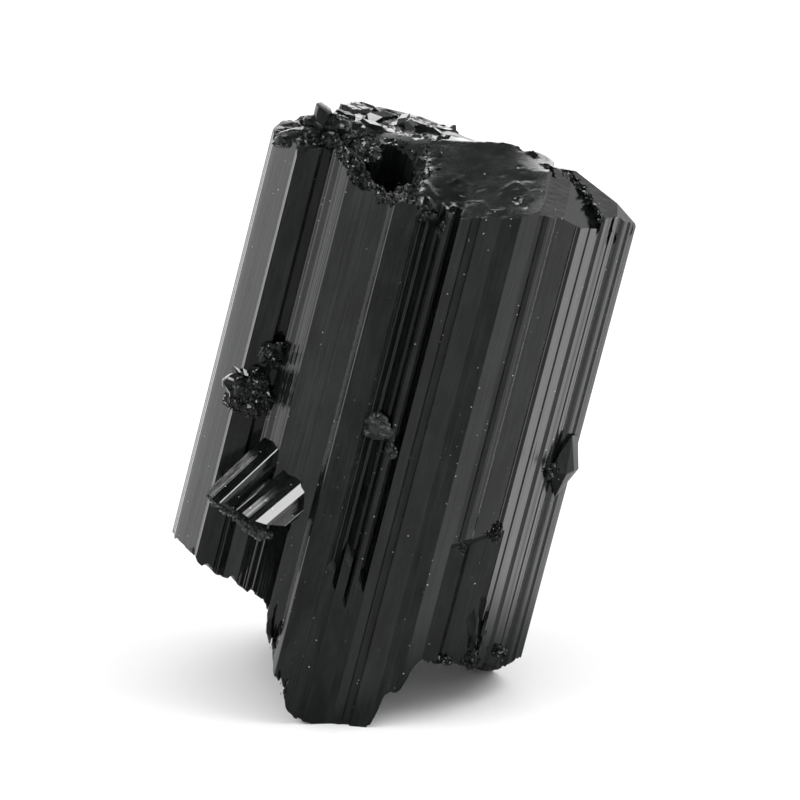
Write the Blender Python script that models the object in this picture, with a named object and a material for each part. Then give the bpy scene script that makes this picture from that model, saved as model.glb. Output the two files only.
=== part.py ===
"""Tourmaline crystal: a stout group of black schorl columns grown side by side along one axis.

The columns are striated prisms that stopped at different heights.  The group leans a little on the
broken ends of three of them, and carries two small crystals, crumbly lumps and a chipped ledge.
Everything has grown together, so the specimen is one solid.
"""

import math
import random

import bmesh
import bpy
from mathutils import Matrix, Vector, noise

MM = 0.001

# The crystal's own frame, in millimetres: a runs across the front, b into the depth and h along
# the long axis.  Its zero lies on the frontmost face, about half-way up.
LEAN = math.radians(13.66)        # the long axis leans this far to the right
ROLL = math.radians(-4.91)        # and the whole group is turned this far about it
PLACE = (0.0, -13.3, 35.03)         # where the frame's zero stands above the footprint's middle

# Columns run past both ends before they are broken off.
COLUMN_LOW = -46.0
COLUMN_HIGH = 32.0
RIB_DEPTH = 0.13

# Outlines across the long axis: (a, b, ribs on the stretch that starts here).
LEFT_COLUMN = [
    (-13.4, 21.8, 2), (-16.2, 18.9, 2), (-18.2, 15.6, 2), (-19.1, 12.4, 2), (-18.6, 9.4, 4),
    (-16.2, 5.8, 0), (-15.9, 5.4, 0), (-13.65, 5.4, 0), (-13.3, 8.3, 0), (-12.3, 9.4, 0),
    (-8.0, 9.0, 0), (-7.0, 20.0, 0),
]
FRONT_COLUMN = [
    (-12.7, 9.2, 0), (-12.6, 5.5, 4), (-10.4, 3.5, 0), (-9.7, 3.2, 2), (-7.5, 2.1, 0),
    (-7.35, 1.6, 0), (-5.75, 1.2, 0), (-5.35, 0.4, 0), (-2.95, 0.4, 0), (-2.5, 1.5, 0),
    (-1.9, 1.2, 0), (-1.6, 2.1, 0), (-0.9, 1.8, 0), (-0.5, 2.5, 0), (-0.05, 1.1, 0),
    (0.45, 1.1, 0), (0.6, 2.6, 0), (1.2, 2.6, 0), (1.3, 1.2, 0), (2.35, 1.0, 0),
    (2.45, 1.4, 0), (3.15, 1.3, 0), (3.3, 0.7, 0), (5.3, 0.4, 0), (7.15, 0.5, 0),
    (8.75, 1.45, 0), (9.0, 4.0, 0), (9.0, 22.0, 0), (6.0, 25.5, 0), (-6.0, 25.0, 0),
    (-12.0, 19.0, 0),
]
RIGHT_COLUMN = [
    (7.4, 2.6, 0), (8.7, 1.55, 0), (9.15, 1.75, 0), (9.3, 2.2, 0), (9.75, 2.0, 0),
    (10.4, 2.35, 0), (10.5, 2.6, 0), (12.45, 3.6, 0), (12.6, 3.4, 0), (13.05, 3.8, 2),
    (13.85, 5.2, 0), (14.1, 5.2, 1), (14.8, 6.4, 0), (15.3, 6.5, 1), (15.9, 7.5, 0),
    (16.1, 7.45, 1), (16.7, 8.5, 0), (17.2, 8.7, 0), (17.65, 9.6, 0), (17.9, 9.6, 1),
    (18.3, 11.2, 1), (18.3, 12.8, 2), (16.9, 16.2, 0), (16.5, 16.3, 2), (14.7, 19.7, 0),
    (14.3, 19.7, 1), (12.4, 22.6, 0), (9.6, 22.6, 0), (8.3, 14.0, 0), (8.2, 4.0, 0),
]
REAR_COLUMN = [
    (-13.8, 21.2, 0), (-12.4, 22.6, 0), (-12.0, 22.2, 2), (-9.2, 25.4, 0), (-8.6, 25.2, 2),
    (-5.2, 27.2, 0), (-4.8, 26.5, 0), (-3.6, 26.6, 0), (-3.3, 27.6, 1), (0.6, 28.2, 0),
    (1.0, 27.7, 1), (4.4, 27.6, 0), (4.7, 27.0, 0), (5.9, 26.9, 2), (9.2, 25.8, 0),
    (9.5, 25.2, 1), (12.1, 23.6, 0), (11.0, 17.0, 0), (-12.0, 13.0, 0),
]

# Heights of the broken foot, row behind row: (b, [(a, h), ...]), joined by straight slopes.
FOOT = [
    (0.5, [(-19.2, -22.8), (-16.2, -23.8), (-13.8, -25.0), (-7.6, -25.6), (-7.3, -27.6), (-6.0, -29.4),
           (-4.0, -31.8), (-3.0, -34.8), (-1.8, -35.9), (1.6, -36.5), (4.6, -35.6), (5.4, -33.8),
           (5.9, -30.7), (7.2, -29.6), (8.0, -27.4), (8.6, -26.2), (10.3, -26.4), (10.9, -27.3),
           (18.6, -27.2)]),
    (5.0, [(-19.2, -23.0), (-16.0, -23.8), (-8.2, -25.8), (-5.0, -30.0), (-2.2, -34.2), (0.6, -36.2),
           (3.4, -35.5), (6.4, -30.0), (8.4, -26.6), (12.0, -27.0), (15.0, -27.9), (18.6, -27.6)]),
    (12.0, [(-19.2, -24.8), (-14.0, -26.0), (-8.0, -27.4), (-4.0, -29.6), (4.0, -29.9), (9.0, -27.6),
            (12.0, -28.6), (16.0, -30.4), (18.6, -27.6)]),
    (18.2, [(-19.2, -25.8), (-14.0, -27.6), (-8.0, -29.8), (-4.0, -34.4), (1.0, -32.0), (8.0, -29.9),
            (12.4, -32.0), (15.4, -33.0), (18.6, -30.4)]),
    (22.5, [(-14.0, -28.4), (-8.0, -31.4), (-5.6, -37.2), (-2.0, -37.2), (1.0, -33.2), (6.0, -30.2),
            (12.0, -31.0), (16.0, -29.8)]),
    (28.5, [(-12.0, -29.0), (-5.0, -32.8), (2.0, -31.6), (12.0, -28.4)]),
]
FOOT_ROUGHNESS = 0.5
FOOT_CELL = 1.05

# Heights of the front, left and rear columns' common end, in the same way.
CROWN = [
    (1.0, [(-19.2, 20.2), (-16.0, 20.9), (-12.4, 21.4), (-9.6, 19.2), (-6.4, 19.0), (-4.6, 20.6),
           (-1.6, 19.7), (1.2, 19.4), (3.5, 20.4), (7.2, 22.0), (9.0, 22.6)]),
    (9.0, [(-19.2, 20.2), (-16.0, 21.2), (-12.0, 22.0), (-8.0, 21.4), (-4.0, 20.5), (1.2, 22.4),
           (5.0, 23.6), (9.0, 24.7)]),
    (13.5, [(-19.2, 20.2), (-15.0, 21.4), (-9.0, 22.1), (-4.5, 22.2), (-1.5, 22.9), (3.5, 24.4),
            (6.5, 24.0), (10.0, 23.2)]),
    (15.5, [(-19.2, 20.1), (-15.0, 21.4), (-9.0, 22.2), (-4.5, 22.5), (-1.5, 23.2), (3.5, 23.0),
            (10.0, 22.4)]),
    (21.5, [(-19.0, 20.6), (-10.0, 22.3), (-1.0, 22.3), (4.0, 20.6), (12.0, 18.6)]),
    (28.5, [(-19.0, 19.0), (-8.0, 19.6), (2.0, 19.0), (12.0, 15.5)]),
]
CROWN_ROUGHNESS = 0.34
CROWN_CELL = 1.2

# The right column's end: a flat face behind, the slope at its back, and a lower flat face in front.
# Each is a point on it and its slopes along a and b.
REAR_END_FACE = ((14.65, 6.4, 21.5), -0.20, 0.18)
BACK_END_FACE = ((12.2, 13.05, 23.18), -0.598, -0.60)
FRONT_END_FACE = ((8.7, 1.3, 22.5), -0.50, 0.18)
FRONT_END_OUTLINE = [(8.5, -2.0), (8.6, 12.4), (10.4, 11.4), (12.6, 9.8), (14.4, 8.0), (14.9, 6.2),
                     (15.0, -2.0)]

# The chip that took the lower half of the right column's broad front face.
CHIP_OUTLINE = [(8.55, -2.0), (8.6, 2.55), (10.6, 3.5), (13.3, 4.9), (13.5, 3.9), (14.4, -2.0)]
CHIP_TOP = (11.0, 2.0, -13.6)
CHIP_SLOPE = 0.86
CORNER_BREAK = ((13.8, 4.4, -25.0), (1.25, 1.3, 4.6))

HOLLOW = ((-6.6, 5.4, 21.6), (2.6, 4.6, 3.2))
PITS = [
    ((5.9, 4.4, 22.9), (1.5, 1.1, 0.75)),
    ((0.9, 4.6, 21.2), (1.1, 0.9, 0.6)),
    ((14.9, 5.6, 19.2), (0.32, 1.2, 1.7)),
    ((16.2, 7.2, 18.4), (0.36, 1.2, 2.0)),
    ((13.2, 11.8, 22.6), (1.3, 0.8, 0.9)),
]

# Crumbly lumps of small grains: (middle, half-widths).
LUMPS = [
    ((-15.0, 4.7, -4.7), (2.3, 1.9, 2.35)),
    ((-13.3, 5.3, -0.7), (1.5, 1.7, 1.7)),
    ((-1.9, 0.7, -3.9), (2.2, 0.9, 1.5)),
    ((0.35, 0.7, -5.8), (0.75, 1.0, 0.95)),
    ((-14.5, 9.5, 21.8), (1.5, 1.7, 2.5)),
    ((-16.6, 7.6, 20.6), (1.7, 1.8, 1.4)),
    ((-11.2, 6.0, 20.8), (1.6, 1.8, 1.5)),
    ((-2.6, 1.8, 19.4), (1.5, 1.2, 0.9)),
    ((17.5, 9.2, -7.2), (1.2, 1.2, 2.1)),
    ((16.5, 7.9, -5.3), (1.0, 0.9, 0.9)),
]

# Small six-sided crystals: (broken end, end inside the group, radius, turn about their axis).
SMALL_CRYSTALS = [
    ("upper_small_crystal", (-14.0, 1.8, -16.1), (-8.8, 7.4, -9.4), 1.9, 12.0),
    ("lower_small_crystal", (-10.5, -0.7, -15.6), (-6.0, 6.2, -10.3), 2.25, -8.0),
    ("edge_crystal", (18.3, 8.3, -6.4), (16.9, 9.7, -2.6), 1.2, 20.0),
]
CROWN_BLADES = [
    ("crown_blade_1", (-9.0, 14.5, 22.4), 20.0, (3.4, 0.9, 1.3)),
    ("crown_blade_2", (-5.0, 16.5, 22.6), -55.0, (3.6, 0.9, 1.4)),
    ("crown_blade_3", (-10.5, 18.0, 22.5), 62.0, (3.2, 1.0, 1.2)),
]

BLACK = (0.012, 0.0135, 0.013, 1.0)


def clear_scene():
    """Remove everything that the file starts with."""
    for item in list(bpy.data.objects):
        bpy.data.objects.remove(item, do_unlink=True)


def new_collection(name):
    """Make a collection in the scene."""
    collection = bpy.data.collections.new(name)
    bpy.context.scene.collection.children.link(collection)
    return collection


def new_object(name, mesh, collection, axis):
    """Put a mesh in the scene, standing in the crystal's own frame."""
    item = bpy.data.objects.new(name, mesh)
    collection.objects.link(item)
    item.parent = axis
    return item


def mesh_from(bm, name):
    """Close a bmesh into a mesh with its faces pointing out."""
    bmesh.ops.recalc_face_normals(bm, faces=bm.faces)
    mesh = bpy.data.meshes.new(name)
    bm.to_mesh(mesh)
    bm.free()
    return mesh


def ribbed(outline):
    """Add the fine ribs to an outline: each is a small step outwards."""
    points = []
    for i, (a, b, ribs) in enumerate(outline):
        a_end, b_end, _ = outline[(i + 1) % len(outline)]
        points.append((a, b))
        run = Vector((a_end - a, b_end - b))
        outward = Vector((run.y, -run.x)).normalized() * RIB_DEPTH
        for rib in range(ribs):
            rise = Vector((a, b)) + run * ((rib + 0.35) / ribs)
            fall = Vector((a, b)) + run * ((rib + 0.85) / ribs)
            points.append(tuple(rise))
            points.append(tuple(rise + outward + run * 0.06 / ribs))
            points.append(tuple(fall + outward))
            points.append(tuple(fall + run * 0.06 / ribs))
    return points


def prism(name, points, low, high, collection, axis):
    """Extrude an outline along the long axis, from height low to height high."""
    curve = bpy.data.curves.new(name, "CURVE")
    curve.dimensions = "2D"
    curve.fill_mode = "BOTH"
    curve.extrude = (high - low) / 2 * MM
    spline = curve.splines.new("POLY")
    spline.points.add(len(points) - 1)
    spline.use_cyclic_u = True
    for point, (a, b) in zip(spline.points, points):
        point.co = (a * MM, b * MM, 0.0, 1.0)
    flat = bpy.data.objects.new(name, curve)
    collection.objects.link(flat)
    depsgraph = bpy.context.evaluated_depsgraph_get()
    mesh = bpy.data.meshes.new_from_object(flat.evaluated_get(depsgraph))
    bpy.data.objects.remove(flat, do_unlink=True)
    bm = bmesh.new()
    bm.from_mesh(mesh)
    bpy.data.meshes.remove(mesh)
    bmesh.ops.remove_doubles(bm, verts=bm.verts, dist=0.000002)
    bmesh.ops.translate(bm, verts=bm.verts, vec=(0.0, 0.0, (low + high) / 2 * MM))
    return new_object(name, mesh_from(bm, name), collection, axis)


def combine(target, tool, operation, cutters, solver="EXACT"):
    """Join a shape to the target or cut it away."""
    for collection in list(tool.users_collection):
        collection.objects.unlink(tool)
    cutters.objects.link(tool)
    tool.hide_render = True
    tool.display_type = "WIRE"
    modifier = target.modifiers.new(tool.name, "BOOLEAN")
    modifier.operation = operation
    modifier.solver = solver
    modifier.object = tool


def along(stations, x):
    """Read a height off a row of (place, height) points."""
    if x <= stations[0][0]:
        return stations[0][1]
    for (x0, y0), (x1, y1) in zip(stations, stations[1:]):
        if x <= x1:
            return y0 + (y1 - y0) * (x - x0) / (x1 - x0)
    return stations[-1][1]


def surface_height(rows, a, b):
    """Read a height off rows of heights that stand one behind the other."""
    return along([(depth, along(row, a)) for depth, row in rows], b)


def broken_block(name, rows, cell, roughness, far, seed, collection, axis):
    """Make a block with one rough broken face, which follows the rows of heights."""
    width, depth = 42.0, 34.0
    middle = Vector((0.0, 13.5))
    bm = bmesh.new()
    bmesh.ops.create_grid(bm, x_segments=round(width / cell), y_segments=round(depth / cell),
                          size=0.5)
    rng = random.Random(seed)
    for vert in bm.verts:
        a = middle.x + vert.co.x * width + rng.uniform(-0.25, 0.25) * cell
        b = middle.y + vert.co.y * depth + rng.uniform(-0.25, 0.25) * cell
        coarse = noise.noise(Vector((a * 0.28, b * 0.28, seed)))
        fine = noise.noise(Vector((a * 0.9, b * 0.9, seed + 5.0)))
        h = surface_height(rows, a, b) + roughness * (1.1 * coarse + 0.9 * fine)
        vert.co = Vector((a, b, h)) * MM
    grown = bmesh.ops.extrude_face_region(bm, geom=list(bm.faces))
    for vert in (item for item in grown["geom"] if isinstance(item, bmesh.types.BMVert)):
        vert.co.z = far * MM
    return new_object(name, mesh_from(bm, name), collection, axis)


def cut_flat(item, point, slope_a, slope_b, keep_above=False):
    """Cut the top off along a flat face that rises by its two slopes, or the rest below it."""
    bm = bmesh.new()
    bm.from_mesh(item.data)
    normal = Vector((-slope_a, -slope_b, 1.0)).normalized()
    geometry = list(bm.verts) + list(bm.edges) + list(bm.faces)
    cut = bmesh.ops.bisect_plane(bm, geom=geometry, plane_co=Vector(point) * MM, plane_no=normal,
                                 clear_outer=not keep_above, clear_inner=keep_above)
    rim = [part for part in cut["geom_cut"] if isinstance(part, bmesh.types.BMEdge)]
    bmesh.ops.triangle_fill(bm, use_beauty=True, edges=rim)
    bmesh.ops.recalc_face_normals(bm, faces=bm.faces)
    bm.to_mesh(item.data)
    bm.free()


def lump(name, middle, half_widths, seed, roughness, collection, axis, subdivisions=3):
    """Make a crumbly lump: a ball pushed in and out at random."""
    bm = bmesh.new()
    bmesh.ops.create_icosphere(bm, subdivisions=subdivisions, radius=1.0)
    for vert in bm.verts:
        push = 1.0 + roughness * noise.noise(vert.co * 2.3 + Vector((seed, 0.0, 0.0)))
        size = [half * push * value for half, value in zip(half_widths, vert.co)]
        vert.co = (Vector(size) + Vector(middle)) * MM
    return new_object(name, mesh_from(bm, name), collection, axis)


def small_crystal(name, free_end, grown_end, radius, turn, collection, axis):
    """Make a six-sided crystal between two points."""
    start = Vector(free_end) * MM
    end = Vector(grown_end) * MM
    length = (end - start).length
    bm = bmesh.new()
    bmesh.ops.create_cone(bm, cap_ends=True, segments=6, radius1=radius * MM, radius2=radius * MM,
                          depth=length)
    turned = (end - start).to_track_quat("Z", "Y").to_matrix().to_4x4()
    place = Matrix.Translation((start + end) / 2) @ turned
    place = place @ Matrix.Rotation(math.radians(turn), 4, "Z")
    bmesh.ops.transform(bm, matrix=place, verts=bm.verts)
    return new_object(name, mesh_from(bm, name), collection, axis)


def blade(name, middle, turn, size, collection, axis):
    """Make a flat-lying blade on the rear column's end."""
    bm = bmesh.new()
    bmesh.ops.create_cube(bm, size=1.0)
    scale = Matrix.Diagonal([value * MM for value in size] + [1.0])
    place = Matrix.Translation(Vector(middle) * MM) @ Matrix.Rotation(math.radians(turn), 4, "Z")
    bmesh.ops.transform(bm, matrix=place @ scale, verts=bm.verts)
    return new_object(name, mesh_from(bm, name), collection, axis)


def columns(part, cutters, axis):
    """Grow the four columns together and break off both ends."""
    crystal = prism("tourmaline_crystal", ribbed(FRONT_COLUMN), COLUMN_LOW, COLUMN_HIGH, part, axis)
    for name, outline in (("left_column", LEFT_COLUMN), ("rear_column", REAR_COLUMN)):
        other = prism(name, ribbed(outline), COLUMN_LOW, COLUMN_HIGH, cutters, axis)
        combine(crystal, other, "UNION", cutters)
    crown = broken_block("crown", CROWN, CROWN_CELL, CROWN_ROUGHNESS, COLUMN_HIGH + 4, 11, cutters,
                         axis)
    combine(crystal, crown, "DIFFERENCE", cutters)
    right = prism("right_column", ribbed(RIGHT_COLUMN), COLUMN_LOW, COLUMN_HIGH, cutters, axis)
    cut_flat(right, *REAR_END_FACE)
    cut_flat(right, *BACK_END_FACE)
    combine(crystal, right, "UNION", cutters)
    front_end = prism("front_end", FRONT_END_OUTLINE, 0.0, COLUMN_HIGH, cutters, axis)
    cut_flat(front_end, *FRONT_END_FACE, keep_above=True)
    combine(crystal, front_end, "DIFFERENCE", cutters)
    return crystal


def breaks(crystal, cutters, axis):
    """Take away the broken foot, the chip, the hollow and the pits."""
    foot = broken_block("foot", FOOT, FOOT_CELL, FOOT_ROUGHNESS, COLUMN_LOW - 4, 23, cutters, axis)
    combine(crystal, foot, "DIFFERENCE", cutters)
    chip = prism("chip", CHIP_OUTLINE, COLUMN_LOW, 0.0, cutters, axis)
    cut_flat(chip, CHIP_TOP, CHIP_SLOPE, 0.1)
    combine(crystal, chip, "DIFFERENCE", cutters)
    middle, half_widths = CORNER_BREAK
    corner = lump("corner_break", middle, half_widths, 3.0, 0.7, cutters, axis)
    combine(crystal, corner, "DIFFERENCE", cutters)
    middle, half_widths = HOLLOW
    hollow = lump("hollow", middle, half_widths, 8.0, 0.4, cutters, axis)
    combine(crystal, hollow, "DIFFERENCE", cutters)
    for i, (middle, half_widths) in enumerate(PITS):
        pit = lump(f"pit_{i + 1}", middle, half_widths, 20.0 + i, 0.3, cutters, axis, 2)
        combine(crystal, pit, "DIFFERENCE", cutters)


def growths(crystal, cutters, axis):
    """Grow the lumps, the small crystals and the blades onto the columns."""
    for i, (middle, half_widths) in enumerate(LUMPS):
        grain = lump(f"lump_{i + 1}", middle, half_widths, 40.0 + 3 * i, 0.55, cutters, axis)
        combine(crystal, grain, "UNION", cutters, "MANIFOLD")
    for name, free_end, grown_end, radius, turn in SMALL_CRYSTALS:
        shape = small_crystal(name, free_end, grown_end, radius, turn, cutters, axis)
        combine(crystal, shape, "UNION", cutters, "MANIFOLD")
    for name, middle, turn, size in CROWN_BLADES:
        shape = blade(name, middle, turn, size, cutters, axis)
        combine(crystal, shape, "UNION", cutters, "MANIFOLD")


def stand(crystal, cutters):
    """Wear the three lowest points flat where the specimen stands."""
    bm = bmesh.new()
    bmesh.ops.create_cube(bm, size=0.12)
    bmesh.ops.translate(bm, verts=bm.verts, vec=(0.0, 0.0, -0.06))
    ground = new_object("ground", mesh_from(bm, "ground"), cutters, None)
    combine(crystal, ground, "DIFFERENCE", cutters, "MANIFOLD")


def black_schorl():
    """Glossy black, faintly green."""
    material = bpy.data.materials.new("black_schorl")
    material.use_nodes = True
    shader = material.node_tree.nodes["Principled BSDF"]
    shader.inputs["Base Color"].default_value = BLACK
    shader.inputs["Roughness"].default_value = 0.16
    shader.inputs["Metallic"].default_value = 0.0
    return material


def build():
    """Build the specimen."""
    clear_scene()
    part = new_collection("tourmaline_crystal")
    cutters = new_collection("cutters")
    axis = bpy.data.objects.new("long_axis", None)
    part.objects.link(axis)
    axis.matrix_world = (Matrix.Translation(Vector(PLACE) * MM) @ Matrix.Rotation(LEAN, 4, "Y")
                         @ Matrix.Rotation(ROLL, 4, "Z"))
    crystal = columns(part, cutters, axis)
    breaks(crystal, cutters, axis)
    growths(crystal, cutters, axis)
    stand(crystal, cutters)
    crystal.data.materials.append(black_schorl())


build()
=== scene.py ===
import math
import random

import bpy
from mathutils import Euler, Matrix, Vector, noise


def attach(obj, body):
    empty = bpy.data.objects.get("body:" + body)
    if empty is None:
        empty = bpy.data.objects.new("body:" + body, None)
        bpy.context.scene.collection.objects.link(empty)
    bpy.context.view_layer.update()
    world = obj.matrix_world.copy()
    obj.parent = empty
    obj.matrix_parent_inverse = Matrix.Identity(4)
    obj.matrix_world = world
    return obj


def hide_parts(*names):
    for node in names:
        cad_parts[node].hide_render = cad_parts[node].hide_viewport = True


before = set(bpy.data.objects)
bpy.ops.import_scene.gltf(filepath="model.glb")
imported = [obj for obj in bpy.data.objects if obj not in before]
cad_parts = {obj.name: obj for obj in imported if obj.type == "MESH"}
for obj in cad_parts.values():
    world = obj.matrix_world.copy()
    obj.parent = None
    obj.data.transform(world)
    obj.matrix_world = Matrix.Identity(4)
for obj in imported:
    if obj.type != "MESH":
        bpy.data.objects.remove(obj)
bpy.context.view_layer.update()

# --------------------
# The columns: four thick prisms of black schorl, grown together side by side along one long axis,
# which leans to the right as the group stands.  They are striated, because narrow strips of two or
# three face directions took turns as they grew.  Every piece below is shaped in the crystal's own
# frame, in millimetres (a across the front, b into the depth, h along the axis), and set down last.
# --------------------
MM = 0.001
LEAN = math.radians(13.66)
ROLL = math.radians(-4.91)
PLACE = Vector((0.0, -13.3, 35.03))
leaning = Matrix.Rotation(LEAN, 4, "Y") @ Matrix.Rotation(ROLL, 4, "Z")
stand = Matrix.Scale(MM, 4) @ Matrix.Translation(PLACE) @ leaning

COLUMN_LOW = -46.0
COLUMN_HIGH = 32.0

# Outlines across the axis.  Each point is (a, b) or (a, b, pitch, tilt): on the stretch that starts
# there, strips about pitch wide are turned to and fro by about tilt degrees, or cut as steep grooves.
LEFT_COLUMN = [
    (-13.4, 21.8, 0.30, 9), (-16.2, 18.9, 0.35, 9), (-18.2, 15.6, 0.30, 8), (-19.05, 12.4, 0.22, 8),
    (-18.6, 9.5, 0.16, 4), (-17.75, 8.15, 0.18, 3), (-16.9, 6.95, 0.14, 3), (-16.2, 6.15, 0.10, 10),
    (-15.95, 5.4, 0.60, 0.5), (-13.8, 5.4), (-13.5, 6.7), (-12.4, 6.75), (-8.0, 9.0), (-7.0, 20.0),
]
FRONT_COLUMN = [
    (-12.7, 9.2), (-12.6, 5.5, 0.13, 11), (-10.4, 3.5, 0.18, 8), (-9.7, 3.2, 0.33, 3),
    (-7.4, 2.0), (-7.35, 1.75, 0.55, 1.2), (-5.9, 1.35), (-5.4, 0.5), (-5.3, 0.4, 0.7, 0.4),
    (-2.95, 0.4, 0.12, 8), (-2.5, 1.3, 0.14, 52), (-1.9, 1.2, 0.12, 50), (-1.6, 2.0, 0.16, 54),
    (-0.9, 1.8, 0.12, 50), (-0.5, 2.4, 0.14, 9), (-0.05, 1.1, 0.14, 5), (0.45, 1.1),
    (0.6, 2.6, 0.15, 50), (1.2, 2.6), (1.3, 1.2, 0.26, 3.5), (2.35, 1.0),
    (2.45, 1.1, 0.14, 3), (3.15, 1.08), (3.3, 0.7, 0.5, 1.4), (5.3, 0.4, 0.6, 0.9),
    (7.15, 0.5, 0.5, 1.0), (8.75, 1.45), (9.0, 4.0), (9.0, 22.0), (6.0, 25.5), (-6.0, 25.0),
    (-12.0, 19.0),
]
RIGHT_COLUMN = [
    (7.4, 2.6), (8.7, 1.55, 0.2, 3), (9.15, 1.75), (9.3, 2.05, 0.2, 3), (9.75, 2.0, 0.2, 3),
    (10.4, 2.4), (10.5, 2.6, 0.6, 0.8), (12.45, 3.6), (12.52, 3.72), (12.62, 3.72), (12.7, 3.8),
    (13.05, 3.9, 0.20, 5), (13.90, 5.3, 0.1, 3), (14.05, 5.35, 0.22, 5), (14.85, 6.6, 0.10, 5),
    (15.25, 6.8, 0.20, 6), (16.0, 7.85), (16.12, 7.87, 0.16, 7), (16.65, 8.9, 0.13, 5),
    (17.2, 9.2, 0.14, 6), (17.65, 10.4, 0.10, 5), (17.85, 10.5, 0.14, 6), (18.45, 12.3, 0.2, 6),
    (18.45, 13.2, 0.25, 9), (16.9, 16.2), (16.5, 16.3, 0.3, 9), (14.7, 19.7), (14.3, 19.7, 0.3, 7),
    (12.4, 22.6), (9.6, 22.6), (8.3, 14.0), (8.2, 4.0),
]
REAR_COLUMN = [
    (-13.8, 21.2, 0.3, 9), (-12.4, 22.6), (-12.0, 22.2, 0.3, 8), (-9.2, 25.4), (-8.6, 25.2, 0.28, 7),
    (-5.2, 27.2, 0.12, 9), (-4.8, 26.5, 0.2, 9), (-3.6, 26.6, 0.12, 9), (-3.3, 27.6, 0.5, 2.5),
    (0.6, 28.2), (1.0, 27.7, 0.3, 6), (4.4, 27.6), (4.7, 27.0, 0.25, 8), (5.9, 26.9, 0.3, 6),
    (9.2, 25.8), (9.5, 25.2, 0.3, 7), (12.1, 23.6), (11.0, 17.0), (-12.0, 13.0),
]
# Above a steep tilt, in degrees, strips are cut as grooves.  Strips and the gaps between grooves vary
# in width, as shares of the pitch or of the groove, and each strip steps back near its end.
STEEP = 30.0
STRIP_WIDTHS, GROOVE_GAPS = (0.45, 0.7, 1.0, 1.5), (1.0, 1.0, 1.6)
STEP_BACK = 0.93
STRIAE_SEED = 7


def deselect():
    """Select nothing."""
    bpy.ops.object.select_all(action="DESELECT")


def pick(piece):
    """Select one piece alone."""
    deselect()
    piece.select_set(True)
    bpy.context.view_layer.objects.active = piece


def open_mesh():
    """Go into edit mode with the whole mesh selected."""
    bpy.ops.object.mode_set(mode="EDIT")
    bpy.ops.mesh.select_all(action="SELECT")


def close_mesh():
    """Leave edit mode."""
    bpy.ops.object.mode_set(mode="OBJECT")


def apply_modifier(piece, kind, **settings):
    """Add one modifier to a piece and apply it."""
    modifier = piece.modifiers.new(kind.title(), kind)
    for key, value in settings.items():
        setattr(modifier, key, value)
    pick(piece)
    bpy.ops.object.modifier_apply(modifier=modifier.name)


def carve(piece, tool, operation="DIFFERENCE"):
    """Cut the tool out of the piece, or grow it on, and throw the tool away."""
    apply_modifier(piece, "BOOLEAN", object=tool, operation=operation, solver="MANIFOLD")
    bpy.data.objects.remove(tool, do_unlink=True)


def face_outwards(piece):
    """Turn every face of a closed piece outwards."""
    pick(piece)
    open_mesh()
    bpy.ops.mesh.normals_make_consistent(inside=False)
    close_mesh()


def cut_flat(piece, point, normal, keep_above=False):
    """Cut a piece off along a plane: what the normal points at goes, or all the rest does."""
    pick(piece)
    open_mesh()
    bpy.ops.mesh.bisect(plane_co=point, plane_no=normal, use_fill=True,
                        clear_outer=not keep_above, clear_inner=keep_above)
    close_mesh()


def cut_end(piece, end_face, keep_above=False):
    """Cut a piece off along a sloping end: a point on it, and its slopes along a and b."""
    point, slope_a, slope_b = end_face
    cut_flat(piece, point, (-slope_a, -slope_b, 1.0), keep_above)


def striated(outline, rng):
    """Break an outline's stretches into narrow strips turned to and fro, or into steep grooves."""
    points = []
    for i, (a, b, *strips) in enumerate(outline):
        start = Vector((a, b))
        end = Vector(outline[(i + 1) % len(outline)][:2])
        points.append(start)
        if not strips:
            continue
        pitch, tilt = strips
        run = end - start
        along = run.normalized()
        outward = Vector((run.y, -run.x)).normalized()
        place = pitch * rng.uniform(0.3, 1.0)
        while place < run.length - 0.6 * pitch:
            width = min(pitch * rng.choice(STRIP_WIDTHS), run.length - 0.1 * pitch - place)
            if tilt > STEEP:
                depth = 0.5 * width * math.tan(math.radians(tilt))
                points.append(start + along * place)
                points.append(start + along * (place + 0.5 * width) - outward * depth)
                place += width * rng.choice(GROOVE_GAPS)
                continue
            rise = width * math.tan(math.radians(tilt * rng.uniform(-1.0, 1.0)))
            points.append(start + along * place + outward * max(0.0, -rise))
            points.append(start + along * (place + width * STEP_BACK) + outward * max(0.0, rise))
            place += width
    return points


def column(name, outline, rng, low=COLUMN_LOW, high=COLUMN_HIGH):
    """Shape a circle to the striated outline, fill it and extrude it along the axis."""
    points = striated(outline, rng)
    deselect()
    bpy.ops.mesh.primitive_circle_add(vertices=len(points), radius=20.0, fill_type="NGON")
    piece = bpy.context.object
    piece.name = name
    for vert, (a, b) in zip(piece.data.vertices, points):
        vert.co = (a, b, low)
    open_mesh()
    rise = {"value": (0.0, 0.0, high - low)}
    bpy.ops.mesh.extrude_region_move(TRANSFORM_OT_translate=rise)
    close_mesh()
    face_outwards(piece)
    return piece


def new_group(name, outputs, inputs=()):
    """Start a node group with named inputs and outputs."""
    group = bpy.data.node_groups.new(name, "ShaderNodeTree")
    for socket, default in inputs:
        made = group.interface.new_socket(socket, in_out="INPUT", socket_type="NodeSocketFloat")
        made.default_value = default
    for socket in outputs:
        group.interface.new_socket(socket, in_out="OUTPUT", socket_type="NodeSocketFloat")
    return group, group.nodes.new("NodeGroupInput"), group.nodes.new("NodeGroupOutput")


def node_of(tree, kind, links_in=(), **settings):
    """Add a node, set its sockets and settings, and link its inputs."""
    node = tree.nodes.new(kind)
    for key, value in settings.items():
        if key in node.inputs:
            node.inputs[key].default_value = value
        else:
            setattr(node, key, value)
    for socket, source in links_in:
        tree.links.new(source, node.inputs[socket])
    return node


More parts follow.
